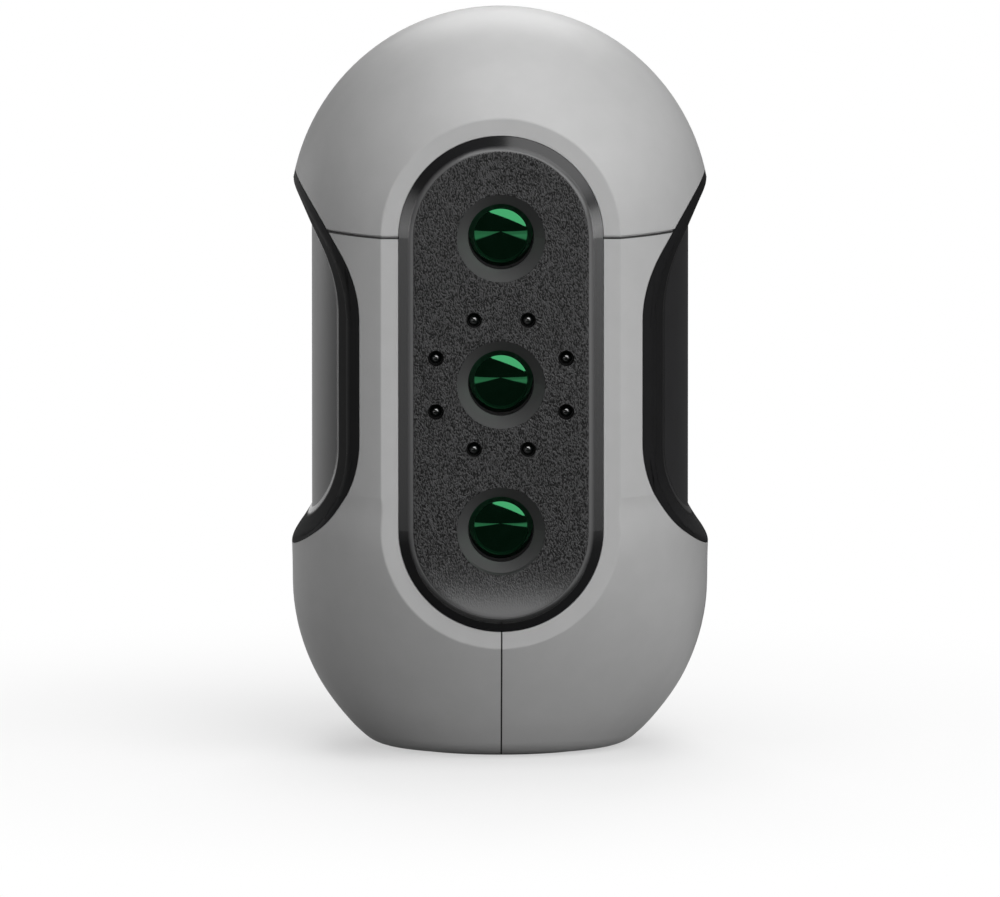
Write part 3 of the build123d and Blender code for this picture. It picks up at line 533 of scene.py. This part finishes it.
def roll_rim(word, side):
    """Copy a rim, round the edge between its band and its inner wall, and let the copy replace it."""
    rim = nodes[f"{word}_grip_rim"].copy()
    rim.data = nodes[f"{word}_grip_rim"].data.copy()
    rim.name = f"{word}_rim_rolled"
    bpy.context.collection.objects.link(rim)
    bpy.ops.object.select_all(action="DESELECT")
    bpy.context.view_layer.objects.active = rim
    rim.select_set(True)
    bpy.ops.mesh.customdata_custom_splitnormals_clear()
    bpy.ops.object.mode_set(mode="EDIT")
    bpy.ops.mesh.select_all(action="SELECT")
    bpy.ops.mesh.remove_doubles(threshold=MERGE_WITHIN)
    bpy.ops.mesh.select_mode(type="EDGE")
    bpy.ops.mesh.select_all(action="DESELECT")
    bpy.ops.object.mode_set(mode="OBJECT")
    crest = select_crest(rim, side)
    bpy.ops.object.mode_set(mode="EDIT")
    bpy.ops.mesh.bevel(offset=CREST_ROUND, segments=CREST_STEPS, affect="EDGES", clamp_overlap=False)
    bpy.ops.object.mode_set(mode="OBJECT")
    bpy.ops.object.shade_smooth_by_angle(angle=SMOOTH_ANGLE)
    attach(rim, "housing")
    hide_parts(f"{word}_grip_rim")
    print(rim.name, crest, "crest edges", len(rim.data.polygons), "faces")


roll_rim("left", -1.0)
roll_rim("right", 1.0)

# %% [markdown]
# The glass of the lenses. On the real object each lens is a stack of coated glass in a black barrel. The
# coating turns what the glass reflects green, and lets the rest through into the dark barrel. Light bent
# through a whole stack would be slow and noisy to render, and would end in black all the same, so the glass
# is an almost black surface with a tinted reflection.

# %% Finishes of the lenses
units = ("upper", "projector", "lower")
FILM_LUMPS = 3.0 * MM
FILM_LIMITS = (0.35, 0.65)
WIPE_LIMITS = (0.3, 0.7)
FILM_DARK = (0.0004, 0.0010, 0.0008)
FILM_PALE = (0.0010, 0.0024, 0.0018)
GLASS_SMOOTH = (0.02, 0.02, 0.02)
GLASS_WIPED = (0.05, 0.05, 0.05)
GLASS_IOR = 2.0
LENS_TINT = (0.16, 1.0, 0.40)


def coated_glass(name, level, tint):
    """Almost black glass whose coating sets how much it reflects, and in which colour."""
    material, tree, shader = new_material(name)
    film = object_noise(tree, FILM_LUMPS, detail=3.0)
    put(tree, shader.inputs["Base Color"], ramp(tree, film, *FILM_LIMITS, FILM_DARK, FILM_PALE))
    put(tree, shader.inputs["Roughness"], ramp(tree, film, *WIPE_LIMITS, GLASS_SMOOTH, GLASS_WIPED))
    put(tree, shader.inputs["IOR"], GLASS_IOR)
    put(tree, shader.inputs["Specular IOR Level"], level)
    put(tree, shader.inputs["Specular Tint"], (*tint, 1.0))
    return material


green_glass = coated_glass("green_glass", level=0.62, tint=LENS_TINT)
ring_black = plastic(
    "ring_black", (0.008, 0.008, 0.008), 0.30, spread=0.08, grain=0.4 * MM, depth=0.01 * MM, strength=0.2
)[0]
barrel_black = plastic("barrel_black", (0.012, 0.012, 0.012), 0.45)[0]
finish(barrel_black, *[f"{word}_lens_barrel" for word in units])
finish(green_glass, *[f"{word}_lens" for word in units])

# %% [markdown]
# Helpers for round pieces. Lenses and lamps are both domes with steps round them, as a lathe would turn
# them. A profile could be spun about the axis. Here each starts as a sphere whose poles lie along the lens
# axis, because its even rows of faces let a dome reflect without ripples. Bisect keeps the cap in front, and
# the cap's open edge is extruded and scaled, step by step.

# %% Helpers for round pieces


def start_cap(radius, apex_y, centre_z, cut_y, segments, rings):
    """Start a dome as a sphere along the lens axis, cut at a depth, and stay in edit mode."""
    bpy.ops.object.select_all(action="DESELECT")
    bpy.ops.mesh.primitive_uv_sphere_add(
        segments=segments,
        ring_count=rings,
        radius=radius,
        location=(0.0, apex_y + radius, centre_z),
        rotation=(math.radians(90.0), 0.0, 0.0),
    )
    bpy.ops.object.transform_apply(location=True, rotation=True, scale=True)
    bpy.ops.object.mode_set(mode="EDIT")
    bpy.ops.mesh.select_all(action="SELECT")
    bpy.ops.mesh.bisect(plane_co=(0.0, cut_y, centre_z), plane_no=(0.0, 1.0, 0.0), clear_outer=True)
    bpy.ops.mesh.select_mode(type="VERT")
    return bpy.context.object


def select_edge_loop(piece, radius, centre_z, slack):
    """In edit mode, select the vertices at a radius from the lens axis."""
    bpy.ops.mesh.select_all(action="DESELECT")
    bpy.ops.object.mode_set(mode="OBJECT")
    for vertex in piece.data.vertices:
        vertex.select = abs(math.hypot(vertex.co.x, vertex.co.z - centre_z) - radius) < slack
    bpy.ops.object.mode_set(mode="EDIT")


def turn_steps(piece, radius, centre, steps, slack):
    """Draw a dome's open edge out in steps, each a move back and a new radius, and leave edit mode."""
    select_edge_loop(piece, radius, centre[2], slack)
    for back, new_radius in steps:
        bpy.ops.mesh.extrude_edges_move(TRANSFORM_OT_translate={"value": (0.0, back, 0.0)})
        if new_radius != radius:
            scale = new_radius / radius
            bpy.ops.transform.resize(value=(scale, 1.0, scale), center_override=centre)
        radius = new_radius
    bpy.ops.mesh.select_all(action="SELECT")
    bpy.ops.mesh.remove_doubles(threshold=MERGE_WITHIN)
    bpy.ops.mesh.normals_make_consistent(inside=False)
    bpy.ops.object.mode_set(mode="OBJECT")
    bpy.ops.object.shade_smooth_by_angle(angle=SMOOTH_ANGLE)


def two_finishes(piece, centre_z, first, second, inner, outer=math.inf):
    """Give a piece one finish, and a second one to its faces between two radii."""
    piece.data.materials.append(first)
    piece.data.materials.append(second)
    for face in piece.data.polygons:
        reach = math.hypot(face.center.x, face.center.z - centre_z)
        face.material_index = int(inner < reach < outer)


print("helpers for round pieces are ready")

# %% [markdown]
# The lenses. Only the front of each stack shows: a dome, a thin black retaining ring in a groove round it,
# and an outer rim of glass. The dome's open edge is drawn back into the groove, out, forward again and out
# to the rim, so that all of it is one skin with real steps. Faces take the finish of their zone by their
# distance from the axis.

# %% Lenses
DOME_CURVE = 20.0 * MM
DOME_RADIUS = 6.6 * MM
RING_RADIUS = 7.0 * MM
RIM_RADIUS = 8.55 * MM
GROOVE_DEPTH = 0.30 * MM
RIM_DROP = 0.46 * MM
ZONE_SLACK = 0.005 * MM
LENS_STEPS = (
    (GROOVE_DEPTH, DOME_RADIUS),
    (0.0, RING_RADIUS),
    (-GROOVE_DEPTH, RING_RADIUS),
    (RIM_DROP, RIM_RADIUS),
)


def model_lens(word):
    """Model one lens over its solid and give its zones their finishes."""
    apex_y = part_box(f"{word}_lens")[0].y
    centre_z = middle_z(f"{word}_lens")
    edge_y = apex_y + DOME_CURVE - math.sqrt(DOME_CURVE**2 - DOME_RADIUS**2)
    lens = start_cap(DOME_CURVE, apex_y, centre_z, edge_y, segments=96, rings=128)
    lens.name = f"{word}_lens_glass"
    turn_steps(lens, DOME_RADIUS, (0.0, edge_y, centre_z), LENS_STEPS, slack=0.02 * MM)
    groove = (DOME_RADIUS - ZONE_SLACK, RING_RADIUS + ZONE_SLACK)
    two_finishes(lens, centre_z, green_glass, ring_black, *groove)
    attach(lens, "housing")
    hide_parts(f"{word}_lens")
    return lens


for word in units:
    lens = model_lens(word)
    print(lens.name, len(lens.data.polygons), "faces")

# %% [markdown]
# The ring lamps. Each is a small dome of dark clear resin that stands in a black sleeve, and the sleeve
# fills the hole in the panel. One lamp is modelled: half a sphere, whose open edge is drawn back, out to
# the hole and back again, which makes the dome, the step and the sleeve in one skin. The other seven are
# copies, set round the middle lens. An array modifier would keep all eight in one mesh, while copies stay
# pieces of their own.

# %% Lamps
LAMP_COUNT = 8
LAMP_SOLID = 1.5 * MM
LAMP_DOME = 1.42 * MM
SLEEVE_EDGE = 1.55 * MM
SLEEVE_OUT = 1.97 * MM
LAMP_FOOT = 0.15 * MM
SLEEVE_RISE = 0.75 * MM
SLEEVE_DEPTH = 2.0 * MM
LAMP_STEPS = (
    (LAMP_FOOT, LAMP_DOME),
    (0.0, SLEEVE_EDGE),
    (-SLEEVE_RISE, SLEEVE_EDGE),
    (0.0, SLEEVE_OUT),
    (SLEEVE_DEPTH, SLEEVE_OUT),
)
lamp_low, lamp_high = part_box("ring_lamps")
ring_z = middle_z("ring_lamps")
lamp_ring = (0.5 * (lamp_high.x - lamp_low.x) - LAMP_SOLID) / math.cos(math.pi / LAMP_COUNT)
lamp_glass = coated_glass("lamp_glass", level=1.0, tint=(1.0, 1.0, 1.0))
sleeve_black = plastic(
    "sleeve_black", (0.004, 0.004, 0.004), 0.25, spread=0.1, grain=0.4 * MM, depth=0.01 * MM, strength=0.2
)[0]
finish(lamp_glass, "ring_lamps")


def ring_copy(first, number, count, radius, shift=0.0):
    """Move a copy of a piece out to its place on a ring; the last place takes the piece itself."""
    piece = first
    if number < count - 1:
        piece = first.copy()
        piece.data = first.data.copy()
        bpy.context.collection.objects.link(piece)
    angle = 2.0 * math.pi * (number + shift) / count
    piece.data.transform(Matrix.Translation((radius * math.cos(angle), 0.0, radius * math.sin(angle))))
    return piece


middle_y = lamp_low.y + LAMP_DOME
first_lamp = start_cap(LAMP_DOME, lamp_low.y, ring_z, middle_y, segments=48, rings=32)
turn_steps(first_lamp, LAMP_DOME, (0.0, middle_y, ring_z), LAMP_STEPS, slack=0.005 * MM)
two_finishes(first_lamp, ring_z, lamp_glass, sleeve_black, LAMP_DOME + ZONE_SLACK)
for number in range(LAMP_COUNT):
    lamp = ring_copy(first_lamp, number, LAMP_COUNT, lamp_ring, shift=0.5)
    lamp.name = f"ring_lamp_{number + 1}"
    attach(lamp, "housing")
    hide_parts("ring_lamps")
print(LAMP_COUNT, "lamps on a ring of", round(lamp_ring / MM, 2), "mm")

# %% [markdown]
# The rear. The panel is the front's black plastic with a shallower grain. The buttons are silicone, moulded
# in two shots, so their pale marks go through the cap and can't wear off: a plus, a ring and a minus. The
# marks could be thin pieces of their own, but as a mask in the material they lie flush with the cap. The
# mask is worked out from the button's own coordinates, so the marks move with it. The light pipe is frosted.

# %% Rear panel and buttons
MARK_HALF = 1.9 * MM
MARK_STROKE = 0.36 * MM
MARK_RING = 4.6 * MM
MARK_PALE = (0.42, 0.42, 0.42, 1.0)
rear_black = plastic(
    "rear_black", (0.026, 0.026, 0.027), 0.45, spread=0.08, grain=0.5 * MM, depth=0.06 * MM, strength=0.5
)[0]
finish(rear_black, "rear_panel")
button_black, tree, shader = plastic("button_black", (0.045, 0.045, 0.047), 0.55)
x, _, z = coordinates(tree)


def bar(button, half_x, half_z):
    """A mask that is 1 in an upright rectangle in the middle of a button."""
    across = math_node(tree, "COMPARE", x, 0.0, half_x)
    return product(tree, across, math_node(tree, "COMPARE", z, middle_z(button), half_z))


from_scan = distance(tree, x, 0.0, math_node(tree, "SUBTRACT", z, middle_z("scan_button")))
marks = largest(
    tree,
    bar("plus_button", MARK_HALF, MARK_STROKE),
    bar("plus_button", MARK_STROKE, MARK_HALF),
    bar("minus_button", MARK_HALF, MARK_STROKE),
    math_node(tree, "COMPARE", from_scan, MARK_RING, MARK_STROKE),
)
second_colour(tree, shader, marks, MARK_PALE)
finish(button_black, "plus_button", "scan_button", "minus_button")
pipe_clear = plastic("pipe_clear", (0.75, 0.80, 0.82), 0.3, spread=0.02)[0]
finish(pipe_clear, "light_pipe")

# %% [markdown]
# The socket. A plated brass shell holds a black block with a ring of contact holes. In each hole sits a
# gilt sleeve. One is modelled from a cylinder, whose outer end is inset and pushed in to make the sleeve
# hollow, and it is copied round the ring.

# %% Socket
CONTACT_COUNT = 6
CONTACT_RING = 2.4 * MM
CONTACT_RADIUS = 0.42 * MM
CONTACT_LENGTH = 2.4 * MM
CONTACT_WALL = 0.14 * MM
CONTACT_BORE = 1.6 * MM
CONTACT_SUNK = 0.2 * MM
FACING_OUT = 0.9
socket_metal = metal("socket_metal", (0.62, 0.61, 0.58), 0.25)
finish(socket_metal, "cable_socket", "socket_nut")
contact_black = plastic("contact_black", (0.02, 0.02, 0.02), 0.35)[0]
finish(contact_black, "socket_contacts")
contact_gilt = metal("contact_gilt", (0.80, 0.58, 0.22), 0.22)
block_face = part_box("socket_contacts")[1].y
bpy.ops.object.select_all(action="DESELECT")
bpy.ops.mesh.primitive_cylinder_add(
    vertices=32,
    radius=CONTACT_RADIUS,
    depth=CONTACT_LENGTH,
    location=(0.0, block_face - CONTACT_SUNK - 0.5 * CONTACT_LENGTH, middle_z("socket_contacts")),
    rotation=(math.radians(-90.0), 0.0, 0.0),
)
first_sleeve = bpy.context.object
bpy.ops.object.transform_apply(location=True, rotation=True, scale=True)
for face in first_sleeve.data.polygons:
    face.select = face.normal.y > FACING_OUT
bpy.ops.object.mode_set(mode="EDIT")
bpy.ops.mesh.select_mode(type="FACE")
bpy.ops.mesh.inset(thickness=CONTACT_WALL)
bpy.ops.mesh.extrude_region_move(TRANSFORM_OT_translate={"value": (0.0, -CONTACT_BORE, 0.0)})
bpy.ops.object.mode_set(mode="OBJECT")
bpy.ops.object.shade_smooth_by_angle(angle=SMOOTH_ANGLE)
first_sleeve.data.materials.append(contact_gilt)
for number in range(CONTACT_COUNT):
    sleeve = ring_copy(first_sleeve, number, CONTACT_COUNT, CONTACT_RING)
    sleeve.name = f"contact_sleeve_{number + 1}"
    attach(sleeve, "housing")
print(CONTACT_COUNT, "contact sleeves")

# %% [markdown]
# The inside. The boards are green solder mask, the frame and the heat sink blasted aluminium, and the
# screws zinc-plated steel. All of it is closed in, so plain finishes will do. The tripod insert is turned
# brass. A modelled thread would be a long spiral of faces that hardly shows, so a ridge that repeats with
# the height stands for it, twenty turns to the inch.

# %% Inside
THREAD_PITCH = 1.27 * MM
THREAD_SLOPE = 0.7
board_green = plastic("board_green", (0.015, 0.11, 0.045), 0.35)[0]
finish(board_green, "lamp_board", "main_board", "button_board", *[f"{word}_sensor_board" for word in units])
chip_black = plastic("chip_black", (0.02, 0.02, 0.021), 0.5)[0]
finish(chip_black, "board_chips", "tact_switches", *[f"{word}_sensor" for word in units])
frame_aluminium = metal("frame_aluminium", (0.62, 0.63, 0.65), 0.42)
finish(frame_aluminium, "optical_frame", "heat_sink", *[f"{word}_lens_mount" for word in units])
screw_steel = metal("screw_steel", (0.55, 0.55, 0.56), 0.3)
finish(
    screw_steel, "lamp_board_screws", "frame_screws", "board_standoffs", "board_screws", "button_board_screws"
)
insert_brass = metal("insert_brass", (0.62, 0.43, 0.17), 0.3)
tree = insert_brass.node_tree
_, _, z = coordinates(tree)
thread = math_node(tree, "PINGPONG", z, 0.5 * THREAD_PITCH)
bump(tree, tree.nodes["Principled BSDF"], thread, depth=THREAD_SLOPE, strength=1.0)
finish(insert_brass, "tripod_insert")
lead_black = plastic("lead_black", (0.02, 0.02, 0.02), 0.6)[0]
finish(lead_black, "socket_lead")
plug_white = plastic("plug_white", (0.72, 0.70, 0.64), 0.45)[0]
finish(plug_white, "lead_plug")
